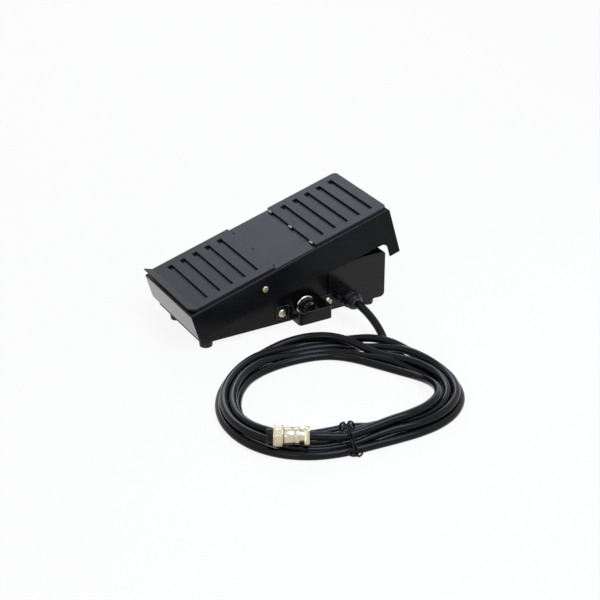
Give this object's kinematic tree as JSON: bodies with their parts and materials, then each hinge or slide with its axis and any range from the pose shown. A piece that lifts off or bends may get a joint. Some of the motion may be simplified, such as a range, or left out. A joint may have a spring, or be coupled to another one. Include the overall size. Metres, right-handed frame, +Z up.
{
  "type": "tig foot pedal",
  "caption": "Sloping foot pedal for welding current: a sprung treadle with slotted tread pads over a sheet-metal base, with a guarded side knob and a coiled cable that ends in a round plug.",
  "frame": {"origin": "on the floor under the middle of the pedal's box, side guard included and the loose cable left out", "axes": "+X across the pedal towards the knob and the cable gland, +Y from the low front end to the high rear end, +Z up"},
  "size_m": [0.3429, 0.2737, 0.106],
  "materials": {
    "coat": "satin black powder coat",
    "pad": "dark grey satin coat",
    "nickel": "bright nickel plate",
    "steel": "plain zinc-plated steel",
    "rubber": "matt black rubber",
    "black_plastic": "satin black plastic",
    "knob_plastic": "glossy black plastic",
    "marker": "amber paint",
    "nylon": "natural nylon",
    "control_case": "dull drawn case",
    "switch_case": "dark moulded case",
    "plunger": "red moulded plastic",
    "cable": "glossy black vinyl",
    "plug_metal": "warm bright nickel plate"
  },
  "bodies": {
    "base": {"pivot_bushes": "nylon", "base_pan": "coat", "rear_cover": "coat", "rubber_feet": "rubber", "foot_screws": "steel", "foot_nuts": "steel", "cover_screws": "steel", "rubber_buffer": "rubber", "knob_guard": "coat", "guard_screws": "nickel", "limit_pot": "control_case", "limit_pot_nut": "nickel", "gland_body": "black_plastic", "gland_locknut": "black_plastic", "gland_nut": "black_plastic", "gland_seal": "rubber", "control_pot": "control_case", "pot_nut": "nickel", "pot_bracket": "steel", "bracket_screws": "steel", "start_switch": "switch_case", "switch_bracket": "steel", "switch_screws": "steel", "spring_seat": "steel", "return_spring": "steel", "cord_lead": "cable", "cord_coil": "cable", "cord_tail": "cable", "cord_tie": "black_plastic", "plug_insert": "rubber", "plug_shell": "plug_metal", "plug_clamp": "plug_metal", "clamp_screws": "nickel"},
    "treadle": {"treadle": "coat", "front_pad": "pad", "rear_pad": "pad", "pivot_shaft": "steel", "pivot_screws": "nickel", "sector_gear": "steel", "stop_pin": "steel", "spring_cap": "steel"},
    "drive": {"drive_pinion": "nylon", "pot_shaft": "steel"},
    "plunger": {"switch_plunger": "plunger"},
    "knob": {"limit_knob": "knob_plastic", "knob_skirt": "nickel", "knob_marker": "marker", "limit_shaft": "steel"},
    "ring": {"plug_ring": "plug_metal"}
  },
  "joints": [
    {"name": "treadle_press", "type": "hinge", "parent": "base", "child": "treadle", "pos_m": [-0.00985, -0.03735, 0.04977], "axis": [-1, 0, 0], "range_deg": [0, 11], "stiffness_Nm_per_rad": 4, "springref_deg": -14.32, "deforming": ["return_spring"]},
    {"name": "pinion_turn", "type": "hinge", "parent": "base", "child": "drive", "pos_m": [-0.01685, 0.06937, 0.0423], "axis": [-1, 0, 0], "range_deg": [-160, 2]},
    {"name": "plunger_slide", "type": "slide", "parent": "base", "child": "plunger", "axis": [0, 0.9903, -0.1392], "range_m": [0, 0.0014]},
    {"name": "knob_turn", "type": "hinge", "parent": "base", "child": "knob", "pos_m": [0.05015, 0.00767, 0.0205], "axis": [1, 0, 0], "range_deg": [-150, 150]},
    {"name": "ring_spin", "type": "hinge", "parent": "base", "child": "ring", "pos_m": [0.2369, -0.13022, 0.0179], "axis": [0.5, 0.866, 0], "continuous": true}
  ],
  "couplings": [
    {"joint": "pinion_turn", "follows": "treadle_press", "ratio": -14.283},
    {"joint": "plunger_slide", "follows": "treadle_press", "m_per_rad": 0.0067713}
  ]
}
